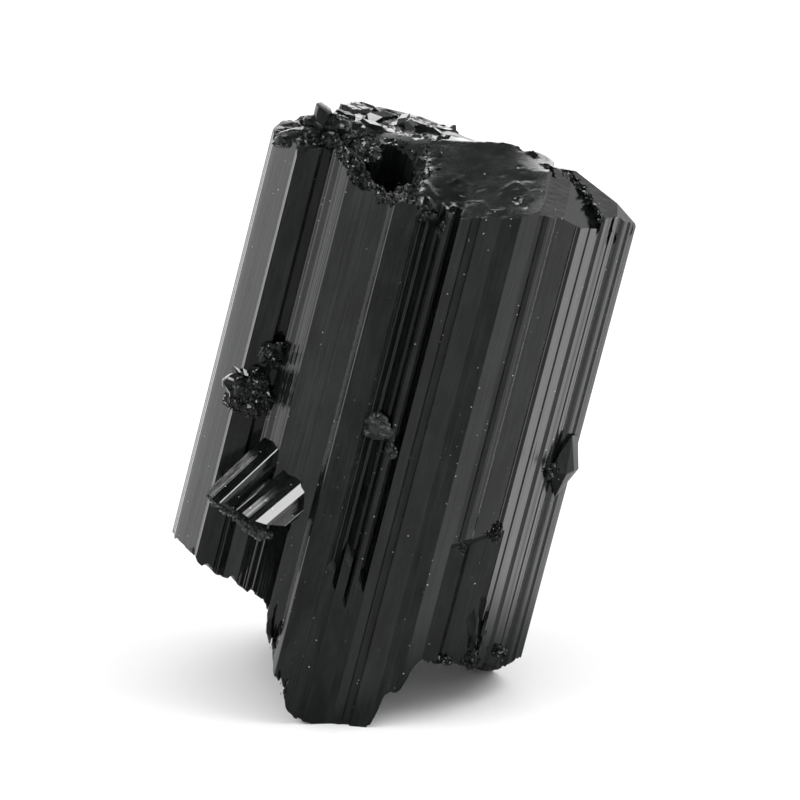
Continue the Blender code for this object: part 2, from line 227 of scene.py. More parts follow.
def sum_of(tree, operation, first, second, third=None):
    """Do one sum on numbers or sockets."""
    node = tree.nodes.new("ShaderNodeMath")
    node.operation = operation
    for socket, value in zip(node.inputs, (first, second, third)):
        if isinstance(value, (int, float)):
            socket.default_value = value
        elif value is not None:
            tree.links.new(value, socket)
    return node.outputs[0]


def fade(tree, value, start, end, to_start=0.0, to_end=1.0, kind="SMOOTHSTEP"):
    """Go from one value to another while the input goes from start to end."""
    node = node_of(tree, "ShaderNodeMapRange", [("Value", value)], interpolation_type=kind)
    ends = zip(("From Min", "From Max", "To Min", "To Max"), (start, end, to_start, to_end))
    for socket, number in ends:
        node.inputs[socket].default_value = number
    return node.outputs[0]


def crystal_place(tree, stretch=(1.0, 1.0, 1.0)):
    """Millimetres in the crystal's own frame, each stretched, from the object's coordinates."""
    coords = tree.nodes.new("ShaderNodeTexCoord")
    mapping = node_of(tree, "ShaderNodeMapping", [("Vector", coords.outputs["Object"])],
                      vector_type="TEXTURE", Location=PLACE * MM, Rotation=leaning.to_euler(),
                      Scale=(MM, MM, MM))
    scaled = node_of(tree, "ShaderNodeVectorMath", [(0, mapping.outputs["Vector"])],
                     operation="MULTIPLY")
    scaled.inputs[1].default_value = stretch
    return scaled.outputs[0]


def soft_noise(tree, stretch, detail, roughness=0.5):
    """Noise over the crystal's own frame, about as fine as the stretch says."""
    return node_of(tree, "ShaderNodeTexNoise", [("Vector", crystal_place(tree, stretch))], Scale=1.0,
                   Detail=detail, Roughness=roughness).outputs["Fac"]


# Growth lines: fine and broad ups and downs across the axis that run on along it.
growth, _, growth_out = new_group("growth_lines", ["Height"])
fine = soft_noise(growth, (7.0, 7.0, 0.13), 4.0, 0.62)
broad = soft_noise(growth, (1.5, 1.5, 0.02), 2.0)
growth.links.new(sum_of(growth, "MULTIPLY_ADD", fine, 0.4, broad), growth_out.inputs["Height"])

# Dust: scattered motes, most of them tiny, some bright and some faint, and crowded in places.
dust, dust_in, dust_out = new_group("dust", ["Mask"], [("Density", 1.0), ("Amount", 0.5)])
dust_place = node_of(dust, "ShaderNodeVectorMath",
                     [(0, crystal_place(dust)), ("Scale", dust_in.outputs["Density"])],
                     operation="SCALE")
motes = node_of(dust, "ShaderNodeTexVoronoi", [("Vector", dust_place.outputs[0])], Scale=1.0)
lots = node_of(dust, "ShaderNodeSeparateColor", [("Color", motes.outputs["Color"])])
clump = soft_noise(dust, (0.22, 0.22, 0.12), 1.0)
crowd = sum_of(dust, "MULTIPLY_ADD", clump, 6.0, -2.35)
crowd = sum_of(dust, "MULTIPLY", crowd, dust_in.outputs["Amount"])
there = sum_of(dust, "LESS_THAN", lots.outputs[0], crowd)
wide = sum_of(dust, "MULTIPLY", sum_of(dust, "POWER", lots.outputs[1], 2.5), 0.15)
near = sum_of(dust, "LESS_THAN", motes.outputs["Distance"], wide)
bright = sum_of(dust, "MULTIPLY_ADD", lots.outputs[2], 0.8, 0.2)
dust.links.new(sum_of(dust, "MULTIPLY", sum_of(dust, "MULTIPLY", near, there), bright),
               dust_out.inputs["Mask"])

# Smudges: soft patches and streaks along the axis, where a face is duller and a little paler.
smudges, _, smudges_out = new_group("smudges", ["Mask"])
cloud = soft_noise(smudges, (0.55, 0.55, 0.2), 6.0, 0.65)
streaks = soft_noise(smudges, (4.5, 4.5, 0.22), 3.0)
blotches = sum_of(smudges, "ADD", cloud, sum_of(smudges, "MULTIPLY_ADD", streaks, 0.5, -0.25))
smudges.links.new(fade(smudges, blotches, 0.40, 0.75, kind="LINEAR"), smudges_out.inputs["Mask"])


def group_node(tree, group, **settings):
    """Place a group in a material with its own values."""
    node = tree.nodes.new("ShaderNodeGroup")
    node.node_tree = group
    for key, value in settings.items():
        node.inputs[key].default_value = value
    return node


SCHORL_IOR = 1.62
DUST_COLOUR, DUST_DULLNESS = (0.40, 0.42, 0.40, 1.0), 0.5


def schorl(name, colour, smudged, roughness, dull, grit, grit_scale, lines=0.0, density=1.7,
           amount=0.6, specular=0.5):
    """A finish of black schorl: grit and growth lines (in mm), duller smudges, and dust on top."""
    material = bpy.data.materials.new(name)
    material.use_nodes = True
    tree = material.node_tree
    shader = tree.nodes["Principled BSDF"]
    shader.inputs["IOR"].default_value = SCHORL_IOR
    shader.inputs["Specular IOR Level"].default_value = specular
    specks = group_node(tree, dust, Density=density, Amount=amount).outputs["Mask"]
    patches = group_node(tree, smudges).outputs["Mask"]
    stone = node_of(tree, "ShaderNodeMix", [("Factor", patches)], data_type="RGBA")
    stone.inputs["A"].default_value = (*colour, 1.0)
    stone.inputs["B"].default_value = (*smudged, 1.0)
    dusted = node_of(tree, "ShaderNodeMix", [("Factor", specks), ("A", stone.outputs["Result"])],
                     data_type="RGBA")
    dusted.inputs["B"].default_value = DUST_COLOUR
    tree.links.new(dusted.outputs["Result"], shader.inputs["Base Color"])
    gloss = sum_of(tree, "MULTIPLY_ADD", patches, dull - roughness, roughness)
    gloss = sum_of(tree, "MULTIPLY_ADD", specks, DUST_DULLNESS, gloss)
    tree.links.new(gloss, shader.inputs["Roughness"])
    ribs = node_of(tree, "ShaderNodeBump",
                   [("Height", group_node(tree, growth).outputs["Height"])], Distance=lines * MM)
    sand = soft_noise(tree, (grit_scale, grit_scale, grit_scale), 5.0, 0.6)
    rough = node_of(tree, "ShaderNodeBump", [("Height", sand), ("Normal", ribs.outputs[0])],
                    Distance=grit * MM)
    tree.links.new(rough.outputs[0], shader.inputs["Normal"])
    return material


faces = schorl("schorl_faces", (0.0030, 0.0036, 0.0034), (0.0110, 0.0132, 0.0124), roughness=0.09,
               dull=0.19, grit=0.004, grit_scale=3.0, lines=0.014)

rng = random.Random(STRIAE_SEED)
columns = column("schorl_columns", FRONT_COLUMN, rng)
right_column = column("right_column", RIGHT_COLUMN, rng)
carve(columns, column("left_column", LEFT_COLUMN, rng), "UNION")
carve(columns, column("rear_column", REAR_COLUMN, rng), "UNION")

# Below the perched crystals the front is set back, and deeply grooved.
RECESS_TOP = -16.5
LOWER_RECESS = [(-14.05, 3.0), (-14.0, 6.9), (-7.6, 5.6), (-7.5, -1.0)]
LOWER_FRONT = [
    (-14.1, 8.5), (-14.05, 5.75, 0.12, 50), (-12.75, 6.1, 0.4, 1.5), (-11.4, 5.75, 0.15, 48),
    (-10.3, 5.3, 0.14, 52), (-9.6, 5.1, 0.10, 55), (-7.6, 4.4), (-7.5, 9.0),
]
carve(columns, column("lower_recess", LOWER_RECESS, rng, COLUMN_LOW - 1.0, RECESS_TOP))
carve(columns, column("lower_front", LOWER_FRONT, rng, COLUMN_LOW, RECESS_TOP + 0.5), "UNION")

# Near the foot the deep grooves of the front fill up again, each to a long slanting point:
# (start, end, where the slant meets the front).
GROOVE_FILLS = [
    ((-2.95, 0.45), (-2.0, 0.60), -19.0), ((-2.1, 0.86), (-1.4, 0.90), -21.0),
    ((-1.5, 0.68), (-0.55, 0.84), -18.0), ((-0.6, 0.84), (0.35, 1.0), -23.0),
    ((0.3, 1.0), (1.35, 1.15), -20.5),
]
FILL_BACK = 4.0
TAPER = 18.0
for start, end, top in GROOVE_FILLS:
    across = TAPER * (end[1] - start[1]) / (end[0] - start[0])
    outline = [start, end, (end[0], FILL_BACK), (start[0], FILL_BACK)]
    fill = column("groove_fill", outline, rng, COLUMN_LOW, 0.0)
    cut_flat(fill, (*start, top), (across, -TAPER, 1.0))
    carve(columns, fill, "UNION")

# --------------------
# The crown: where growth stopped.  The front column ends in a broad, finely pitted dark face, the
# rear one in flat bright plates, the right one in sloping flat faces, and the left end is a rough
# crust round a deep, dark hollow.
# --------------------
# Heights, row behind row: (b, [(a, h), ...]), joined by straight slopes.
CROWN = [
    (-1.0, [(-19.2, 20.2), (-12.4, 21.4), (-9.6, 19.2), (-6.4, 18.6), (-4.6, 19.8), (-1.6, 19.1),
            (1.2, 18.8), (3.5, 19.8), (6.8, 20.8), (9.0, 21.75)]),
    (1.0, [(-19.2, 20.2), (-16.0, 20.9), (-12.4, 21.4), (-9.6, 19.2), (-6.4, 19.0), (-4.6, 20.4),
           (-1.6, 19.7), (1.2, 19.4), (3.5, 20.4), (6.8, 21.4), (9.0, 22.35)]),
    (9.0, [(-19.2, 20.2), (-16.0, 21.2), (-12.0, 22.0), (-8.0, 21.6), (-4.0, 21.3), (-1.6, 21.9),
           (1.2, 22.3), (5.0, 23.3), (9.0, 24.1)]),
    (13.5, [(-19.2, 20.2), (-15.0, 21.0), (-9.0, 22.1), (-4.5, 22.6), (-1.5, 23.2), (3.5, 24.4),
            (6.5, 24.35), (8.0, 24.2), (10.0, 23.2)]),
    (15.5, [(-19.2, 20.1), (-17.5, 20.4), (-15.0, 20.8), (-9.0, 22.2), (-4.5, 22.5), (-1.5, 23.2),
            (3.5, 23.0), (10.0, 22.4)]),
    (21.5, [(-19.0, 19.4), (-16.8, 19.8), (-13.1, 20.7), (-11.2, 21.6), (-9.3, 22.2), (-5.2, 22.3),
            (-2.0, 21.9), (-0.9, 21.5), (0.2, 21.3), (4.0, 20.6), (12.0, 18.6)]),
    (28.5, [(-19.0, 19.0), (-8.0, 19.6), (2.0, 19.0), (12.0, 15.5)]),
]
CROWN_CELL = 0.25
# The plates' height, and where they are: (from, to) along a and along b, with uneven edges.
PLATE_HEIGHT = 22.33
PLATE_STEP, PLATE_CHIP = 0.11, 0.03
PLATES = ((-12.2, -1.5), (13.6, 21.4))
PLATE_DRIFT, PLATE_WANDER = 2.2, 0.4
LEDGE_HEIGHT = 23.72
LEDGE_DEPTH = 1.0
LEDGE_LINE = [(2.2, 14.9), (4.9, 14.9), (7.2, 12.6)]
# How far the roughness of each region rises.
CRUST_SWELL, CRUST_CHIP, CRUST_GRAIN = 0.40, 0.20, 0.08
RIM_SWELL, RIM_CHIP = 0.3, 0.10
FACE_SWELL, FACE_DIMPLE, FACE_STREAK = 0.03, 0.06, 0.004


def along_row(stations, x):
    """Read a height off a row of (place, height) points."""
    if x <= stations[0][0]:
        return stations[0][1]
    for (x0, y0), (x1, y1) in zip(stations, stations[1:]):
        if x <= x1:
            return y0 + (y1 - y0) * (x - x0) / (x1 - x0)
    return stations[-1][1]


def row_height(rows, a, b):
    """Read a height off rows of heights that stand one behind the other."""
    return along_row([(depth, along_row(row, a)) for depth, row in rows], b)


def soft_step(low, high, x):
    """Rise smoothly from 0 to 1 between two values."""
    t = min(1.0, max(0.0, (x - low) / (high - low)))
    return t * t * (3.0 - 2.0 * t)


def cell_value(a, b, seed, size, tilt=0.0):
    """A height of flat chips of about one size, from -1 to 1, each tilted a little."""
    spot = Vector((a / size, b / size, seed))
    near = noise.voronoi(spot)[1][0]
    # Each factor on the chip's middle draws it another value.
    lean_a = noise.cell(near * 7.1) - 0.5
    lean_b = noise.cell(near * 3.7 + Vector((5.0, 5.0, 5.0))) - 0.5
    slope = lean_a * (spot.x - near.x) + lean_b * (spot.y - near.y)
    return 2.0 * noise.cell(near * 5.3) - 1.0 + tilt * slope


def on_plates(a, b):
    """Tell whether a place is on the rear column's flat plates."""
    (a_low, a_high), (b_low, b_high) = PLATES
    wander = PLATE_WANDER * cell_value(a, b, 40.0, 1.5)
    drift = PLATE_DRIFT * noise.noise(Vector((a * 0.35, b * 0.35, 41.0)))
    return (a_low + wander - drift < a < a_high + wander + drift
            and b_low + wander < b < b_high + wander - abs(drift))


# Low ridges on the pitted face, three-sided as schorl's ends are.
GROWTH_RIDGES = [
    [(4.5, 4.1), (4.7, 5.4), (5.7, 6.8), (6.5, 6.2), (7.5, 3.8)],
    [(-0.6, 6.0), (0.2, 7.2), (1.6, 6.2)],
    [(-4.2, 5.7), (-3.4, 5.9), (-1.0, 2.7), (1.7, 3.7), (2.8, 3.5), (4.0, 1.7), (5.2, 1.9)],
]
RIDGE_HEIGHT, RIDGE_WIDTH = 0.09, 0.30


def near_line(line, a, b, width):
    """Rise from 0 to 1 towards a broken line, over a width on each side."""
    spot, nearest = Vector((a, b)), width
    for start, end in zip(line, line[1:]):
        start, end = Vector(start), Vector(end)
        share = (spot - start).dot(end - start) / (end - start).length_squared
        nearest = min(nearest, (spot - start.lerp(end, min(1.0, max(0.0, share)))).length)
    return 1.0 - nearest / width


def crown_height(a, b):
    """Height of the crown: its main slopes with the roughness of each region."""
    height = row_height(CROWN, a, b)
    if on_plates(a, b):
        steps = PLATE_STEP * cell_value(a, b, 3.0, 2.4)
        return PLATE_HEIGHT + steps + PLATE_CHIP * cell_value(a, b, 9.0, 1.0)
    ledge = along_row(LEDGE_LINE, a)
    if LEDGE_LINE[0][0] < a < LEDGE_LINE[-1][0] and ledge - LEDGE_DEPTH < b < ledge:
        return LEDGE_HEIGHT
    # The crust lies round the hollow and along the front edge beside it, the rim at the far left.
    crust = soft_step(-2.6, -4.2, a) * soft_step(12.8, 10.5, b)
    crust = max(crust, soft_step(2.2, 0.6, a) * soft_step(3.6, 2.0, b) * soft_step(-4.5, -3.0, a))
    rim = soft_step(-13.0, -14.5, a)
    face = max(0.0, 1.0 - crust - rim)
    chips = CRUST_CHIP * cell_value(a, b, 1.0, 0.95, 1.2)
    height += crust * (chips + CRUST_GRAIN * cell_value(a, b, 2.0, 0.5))
    height += crust * CRUST_SWELL * noise.noise(Vector((a * 0.45, b * 0.45, 4.0)))
    chips = RIM_CHIP * cell_value(a, b, 5.0, 1.3, 1.0)
    height += rim * (chips + RIM_SWELL * noise.noise(Vector((a, b, 6.0)) * 0.4))
    height += face * FACE_SWELL * noise.noise(Vector((a * 0.30, b * 0.45, 7.0)))
    height += face * FACE_STREAK * noise.noise(Vector(((a + b) * 2.0, (a - b) * 0.5, 8.0)))
    height += face * RIDGE_HEIGHT * max(near_line(line, a, b, RIDGE_WIDTH) for line in GROWTH_RIDGES)
    dimple = soft_step(0.36, 0.52, noise.noise(Vector((a * 1.6, b * 1.3, 12.0))))
    height -= face * FACE_DIMPLE * dimple
    return height


def broken_block(name, height_at, cell, far):
    """Make a block with one broken face, whose height is given at each place of an uneven grid."""
    width, depth, middle = 42.0, 34.0, 13.5
    uneven = 0.28
    deselect()
    bpy.ops.mesh.primitive_grid_add(x_subdivisions=round(width / cell),
                                    y_subdivisions=round(depth / cell), size=1.0)
    piece = bpy.context.object
    piece.name = name
    shift = random.Random(len(piece.data.vertices))
    for vert in piece.data.vertices:
        a = vert.co.x * width + shift.uniform(-uneven, uneven) * cell
        b = middle + vert.co.y * depth + shift.uniform(-uneven, uneven) * cell
        vert.co = (a, b, height_at(a, b))
    open_mesh()
    bpy.ops.mesh.extrude_region_move()
    close_mesh()
    for vert in piece.data.vertices:
        if vert.select:
            vert.co.z = far
    face_outwards(piece)
    return piece


carve(columns, broken_block("crown", crown_height, CROWN_CELL, COLUMN_HIGH + 4.0))

# The right column's end: a flat face behind, the slope at its back, a lower flat face in front, and
# breaks at its inner and outer corners.  Each is (a point on it, slope along a, slope along b).
REAR_END_FACE = ((14.65, 6.4, 21.5), -0.20, 0.18)
BACK_END_FACE = ((12.2, 13.05, 23.02), -0.598, -0.60)
INNER_END_BREAK = ((10.9, 13.7, 23.3), 0.12, -0.25)
OUTER_END_BREAK = ((16.2, 11.05, 21.9), -0.86, 0.10)
FRONT_END_FACE = ((8.7, 1.3, 22.5), -0.50, 0.18)
FRONT_END_OUTLINE = [(8.5, -2.0), (8.6, 12.4), (10.4, 11.4), (12.6, 9.8), (14.4, 8.0), (14.9, 6.2),
                     (15.0, -2.0)]
for end_face in (REAR_END_FACE, BACK_END_FACE, INNER_END_BREAK, OUTER_END_BREAK):
    cut_end(right_column, end_face)
carve(columns, right_column, "UNION")
front_end = column("front_end", FRONT_END_OUTLINE, rng, 0.0, COLUMN_HIGH)
cut_end(front_end, FRONT_END_FACE, keep_above=True)
carve(columns, front_end)

# The hollow is a steep-sided pit with ribbed walls.
HOLLOW = [
    (-9.3, 6.6, 0.3, 12), (-8.3, 4.9, 0.3, 12), (-6.9, 4.0, 0.3, 12), (-5.2, 3.6, 0.3, 12),
    (-4.3, 4.6, 0.25, 20), (-4.1, 7.0, 0.25, 20), (-4.7, 9.6, 0.3, 20), (-6.2, 11.2, 0.3, 14),
    (-8.0, 11.0, 0.3, 14), (-9.2, 9.0, 0.3, 12),
]
HOLLOW_FLOOR = 15.6
carve(columns, column("hollow", HOLLOW, rng, HOLLOW_FLOOR, COLUMN_HIGH))


def rough_ball(name, middle, half_widths, seed, depth, grain, subdivisions=4):
    """Make a closed lump from a ball, pushed in and out in chips."""
    deselect()
    bpy.ops.mesh.primitive_ico_sphere_add(subdivisions=subdivisions, radius=1.0)
    piece = bpy.context.object
    piece.name = name
    for vert in piece.data.vertices:
        spot = vert.co * grain + Vector((seed, 0.0, 0.0))
        chip = noise.cell(noise.voronoi(spot)[1][0] * 5.3) - 0.5
        push = 1.0 + depth * (noise.noise(spot * 0.5) + 0.6 * chip)
        vert.co = Vector([m + half * push * c for m, half, c in zip(middle, half_widths, vert.co)])
    return piece


# Pits, slots and nicks in the ends: (middle, half-widths, depth of their chips, grain).
PITS = [
    ((5.9, 3.5, 22.6), (1.5, 1.1, 0.8), 0.20, 1.5),
    ((0.9, 4.6, 21.3), (1.1, 0.9, 0.6), 0.20, 1.5),
    ((8.7, 10.6, 23.8), (1.05, 1.0, 1.0), 0.3, 2.5),
    ((10.0, 12.7, 23.7), (1.3, 0.8, 1.0), 0.3, 2.5),
    ((11.2, 11.7, 23.2), (0.85, 0.65, 0.9), 0.4, 2.5),
    ((12.2, 10.8, 22.8), (0.75, 0.65, 0.9), 0.4, 2.5),
    ((13.0, 9.6, 22.4), (0.55, 0.65, 0.8), 0.4, 2.5),
    ((13.9, 8.0, 21.9), (0.20, 0.7, 0.7), 0.4, 2.5),
    ((14.6, 6.8, 21.3), (0.18, 0.6, 0.7), 0.4, 2.5),
    ((16.02, 7.7, 20.0), (0.22, 0.8, 1.9), 0.4, 2.0),
    ((16.7, 8.5, 19.1), (0.15, 0.7, 0.9), 0.4, 2.0),
    ((14.8, 6.4, 20.5), (0.26, 0.7, 0.9), 0.4, 2.0),
    ((18.35, 10.9, 19.4), (0.45, 0.8, 1.0), 0.5, 2.5),
]
for i, (middle, half_widths, depth, grain) in enumerate(PITS):
    carve(columns, rough_ball(f"pit_{i}", middle, half_widths, 60.0 + i, depth, grain))
pitted = schorl("pitted_face", (0.0045, 0.0055, 0.0052), (0.0110, 0.0130, 0.0122), roughness=0.14,
                dull=0.24, grit=0.020, grit_scale=4.5, specular=0.42)

# --------------------
# The foot: the group broke off its rock here.  The columns snapped at different heights, and the
# specimen stands on the lowest points of three of them, worn flat where they touch.
# --------------------
FOOT = [
    (0.5, [(-19.2, -22.8), (-16.2, -23.8), (-13.8, -25.0), (-7.6, -25.6), (-7.3, -28.0), (-6.2, -29.9),
           (-4.5, -32.6), (-3.2, -35.2), (-1.8, -35.9), (1.6, -36.5), (4.6, -35.6), (5.4, -33.8),
           (5.9, -30.7), (7.2, -29.6), (8.0, -27.4), (8.6, -26.2), (10.3, -26.4), (10.9, -27.3),
           (13.0, -27.1), (18.6, -26.2)]),
    (5.0, [(-19.2, -22.0), (-17.8, -22.4), (-16.0, -23.2), (-8.2, -25.7), (-5.0, -30.0), (-2.2, -34.2),
           (0.6, -36.2), (3.4, -35.5), (6.4, -30.0), (8.4, -26.6), (12.0, -27.0), (15.0, -27.0),
           (18.6, -26.4)]),
    (12.0, [(-19.2, -23.7), (-17.8, -23.9), (-14.0, -25.8), (-8.0, -27.4), (-4.0, -29.6), (4.0, -29.9),
            (9.0, -27.6), (12.0, -28.2), (16.0, -29.2), (18.6, -27.0)]),
    (18.2, [(-19.2, -25.2), (-14.0, -27.6), (-8.0, -29.8), (-4.0, -34.4), (1.0, -32.0), (8.0, -29.9),
            (12.4, -31.4), (15.4, -32.2), (18.6, -30.0)]),
    (22.5, [(-14.0, -28.4), (-8.0, -31.4), (-5.6, -37.2), (-2.0, -37.2), (1.0, -33.2), (6.0, -30.2),
            (12.0, -31.0), (16.0, -29.8)]),
    (28.5, [(-12.0, -29.0), (-5.0, -32.8), (2.0, -31.6), (12.0, -28.4)]),
]
FOOT_CELL = 0.28
FOOT_SWELL, FOOT_CHIP, FOOT_GRAIN = 0.25, 0.20, 0.08


def foot_height(a, b):
    """Height of the broken foot: its lobes with splintery chips along the axis."""
    height = row_height(FOOT, a, b)
    chips = FOOT_CHIP * cell_value(a, b, 21.0, 1.6, 1.0)
    height += chips + FOOT_GRAIN * cell_value(a, b, 22.0, 0.6, 1.0)
    return height + FOOT_SWELL * noise.noise(Vector((a * 0.6, b * 0.6, 23.0)))


carve(columns, broken_block("foot", foot_height, FOOT_CELL, COLUMN_LOW - 4.0))

# The chip that took the lower half of the right column's broad front face leaves a slanting ledge
# above it.  Splinters are off the ledge, the column's lower corner and the front column's left foot.
CHIP_OUTLINE = [(8.55, -2.0), (8.6, 2.2, 0.4, 2.0), (10.1, 2.6), (10.35, 3.65),
                (10.6, 3.6, 0.5, 1.5), (13.4, 4.6), (13.5, 3.9), (14.4, -2.0)]
CHIP_LEDGE = ((11.0, 2.86, -13.0), (-3.4, 5.5, 1.0))
# (middle, half-widths)
SPLINTERS = [
    ((13.8, 4.4, -25.0), (1.35, 1.4, 4.8)), ((12.3, 3.55, -12.6), (1.1, 0.45, 1.1)),
    ((10.2, 2.45, -14.3), (1.0, 0.40, 0.7)), ((-6.4, 1.7, -29.0), (0.80, 1.1, 3.4)),
    ((-4.3, 0.7, -33.3), (0.8, 0.9, 1.9)),
]
chip = column("chip", CHIP_OUTLINE, rng, COLUMN_LOW - 1.0, 0.0)
cut_flat(chip, *CHIP_LEDGE)
carve(columns, chip)
for middle, half_widths in SPLINTERS:
    splinter = rough_ball("splinter", middle, half_widths, 61.0, depth=0.6, grain=3.4,
                          subdivisions=5)
    carve(columns, splinter)
breaks = schorl("schorl_breaks", (0.0040, 0.0050, 0.0046), (0.0080, 0.0098, 0.0090), roughness=0.34,
                dull=0.55, grit=0.045, grit_scale=5.0, specular=0.30)

# Which finish each face of the columns takes: flat-sided faces, the pitted end, or breaks.
FACE, PITTED, BREAK = 0, 1, 2
SIDE_TILT, SIDE_AREA = 0.22, 0.3
CREASE = math.radians(38.0)
FLAT, LEVEL = 0.9999, 0.995
ENDS_LOW, PLATES_LOW, LEDGE_LEFT = 18.0, 21.5, 2.0
PITTED_LOW, PITTED_LEFT, PITTED_BACK = 18.5, -3.6, 15.0
end_normals = [Vector((-slope_a, -slope_b, 1.0)).normalized()
               for _, slope_a, slope_b in (REAR_END_FACE, BACK_END_FACE, FRONT_END_FACE)]
columns.data.materials.clear()
for finish in (faces, pitted, breaks):
    columns.data.materials.append(finish)
pick(columns)
bpy.ops.object.shade_smooth_by_angle(angle=CREASE)
for polygon in columns.data.polygons:
    place, normal = polygon.center, polygon.normal
    side = abs(normal.z) < SIDE_TILT and polygon.area > SIDE_AREA
    end = place.z > ENDS_LOW and any(normal.dot(flat) > FLAT for flat in end_normals)
    top = place.z > PLATES_LOW and normal.z > LEVEL
    flat_top = top and (on_plates(place.x, place.y) or place.x > LEDGE_LEFT)
    pitted_end = place.z > PITTED_LOW and place.x > PITTED_LEFT and place.y < PITTED_BACK
    if side or end or flat_top:
        polygon.material_index = FACE
    else:
        polygon.material_index = PITTED if pitted_end else BREAK
    polygon.use_smooth = polygon.material_index != FACE

# Stood leaning, the group is worn flat where it touches what it stands on.
GROUND = 0.12
columns.data.transform(stand)
deselect()
bpy.ops.mesh.primitive_cube_add(size=GROUND, location=(0.0, 0.0, -0.5 * GROUND))
carve(columns, bpy.context.object)
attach(columns, "root")
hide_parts("tourmaline_crystal")

# --------------------
# The druse: sparkling grains of schorl that crusted the hollow's lower rim, the ragged left rim and
# the dark gap between the flat faces of the right end.
# --------------------
sparkling = schorl("sparkling_grains", (0.0030, 0.0036, 0.0034), (0.0060, 0.0072, 0.0068),
                   roughness=0.04, dull=0.12, grit=0.004, grit_scale=4.0, density=3.2, amount=0.8,
                   specular=0.38)


def chunk(rng):
    """Cut a cube down to a small chunk with about ten flat faces."""
    deselect()
    bpy.ops.mesh.primitive_cube_add(size=1.0)
    piece = bpy.context.object
    for _ in range(5):
        square = Vector([rng.gauss(0.0, 1.0) for _ in range(3)]).normalized()
        cut_flat(piece, square * rng.uniform(0.30, 0.45), square)
    face_outwards(piece)
    return piece


def spots_on(piece, count, wanted, rng):
    """Pick places spread by area over the wanted faces of a piece."""
    mesh = piece.data
    mesh.calc_loop_triangles()
    found = [face for face in mesh.loop_triangles if wanted(face.center, face.normal)]
    spots = []
    for face in rng.choices(found, [face.area for face in found], k=count):
        p, q, r = (mesh.vertices[i].co for i in face.vertices)
        u, v = rng.random(), rng.random()
        if u + v > 1.0:
            u, v = 1.0 - u, 1.0 - v
        spots.append(p + (q - p) * u + (r - p) * v)
    return spots


def grains_at(name, spots, small, large, rng):
    """Copy the chunks to every spot, each turned its own way, as one mesh."""
    points, sides = [], []
    for spot in spots:
        grain = rng.choice(chunks)
        turn = Euler([rng.uniform(0.0, 2.0 * math.pi) for _ in range(3)]).to_matrix()
        size = small + (large - small) * rng.random() ** 2
        squash = Vector((1.0, rng.uniform(0.6, 1.0), rng.uniform(0.5, 1.0))) * size
        base = len(points)
        points += [spot + turn @ (vert.co * squash) for vert in grain.data.vertices]
        sides += [[base + i for i in face.vertices] for face in grain.data.polygons]
    mesh = bpy.data.meshes.new(name)
    mesh.from_pydata(points, [], sides)
    piece = bpy.data.objects.new(name, mesh)
    bpy.context.scene.collection.objects.link(piece)
    return piece


def join(name, pieces):
    """Join pieces into one."""
    deselect()
    for piece in pieces:
        piece.select_set(True)
    bpy.context.view_layer.objects.active = pieces[0]
    bpy.ops.object.join()
    pieces[0].name = name
    return pieces[0]


def set_down(piece, finish):
    """Give a piece its finish, stand it leaning, and let it ride on root."""
    piece.data.materials.clear()
    piece.data.materials.append(finish)
    piece.data.transform(stand)
    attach(piece, "root")
    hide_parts("tourmaline_crystal")


UPWARD = 0.2


def looks_up(normal):
    """Tell a face that is turned up along the axis, at least a little."""
    return (from_stand.to_3x3() @ normal).z > UPWARD * from_stand.median_scale


def on_low_rim(centre, normal):
    """Tell the front rim of the hollow and the slope to its left, where grains sparkle."""
    place = from_stand @ centre
    return -12.9 < place.x < -3.4 and place.y < 6.3 and place.z > 17.0 and looks_up(normal)


def on_left_rim(centre, normal):
    """Tell the ragged rim behind the hollow and along the left end."""
    place = from_stand @ centre
    return -13.2 < place.x < -2.0 and 6.0 < place.y < 12.8 and place.z > 18.0 and looks_up(normal)


GRAIN_SEED, GRAIN_SHAPES = 31, 7
LOW_RIM_GRAINS, LEFT_RIM_GRAINS, GAP_GRAINS = 620, 260, 26
GAP_SPREAD, GAP_SINK = 0.14, (-0.05, 0.5)
rng = random.Random(GRAIN_SEED)
chunks = [chunk(rng) for _ in range(GRAIN_SHAPES)]
from_stand = stand.inverted()
low_spots = [from_stand @ spot for spot in spots_on(columns, LOW_RIM_GRAINS, on_low_rim, rng)]
rim_spots = [from_stand @ spot for spot in spots_on(columns, LEFT_RIM_GRAINS, on_left_rim, rng)]
gap_spots = []
point, slope_a, slope_b = REAR_END_FACE
for (a0, b0), (a1, b1) in zip(FRONT_END_OUTLINE[1:5], FRONT_END_OUTLINE[2:6]):
    for _ in range(GAP_GRAINS):
        t = rng.random()
        a = a0 + (a1 - a0) * t + rng.gauss(0.0, GAP_SPREAD)
        b = b0 + (b1 - b0) * t + rng.gauss(0.0, GAP_SPREAD)
        height = point[2] + slope_a * (a - point[0]) + slope_b * (b - point[1])
        gap_spots.append(Vector((a, b, height - rng.uniform(*GAP_SINK))))
crown_druse = join("crown_druse", [
    grains_at("low_rim_grains", low_spots, 0.08, 0.34, rng),
    grains_at("left_rim_grains", rim_spots, 0.12, 0.50, rng),
    grains_at("gap_grains", gap_spots, 0.12, 0.40, rng)])
set_down(crown_druse, sparkling)

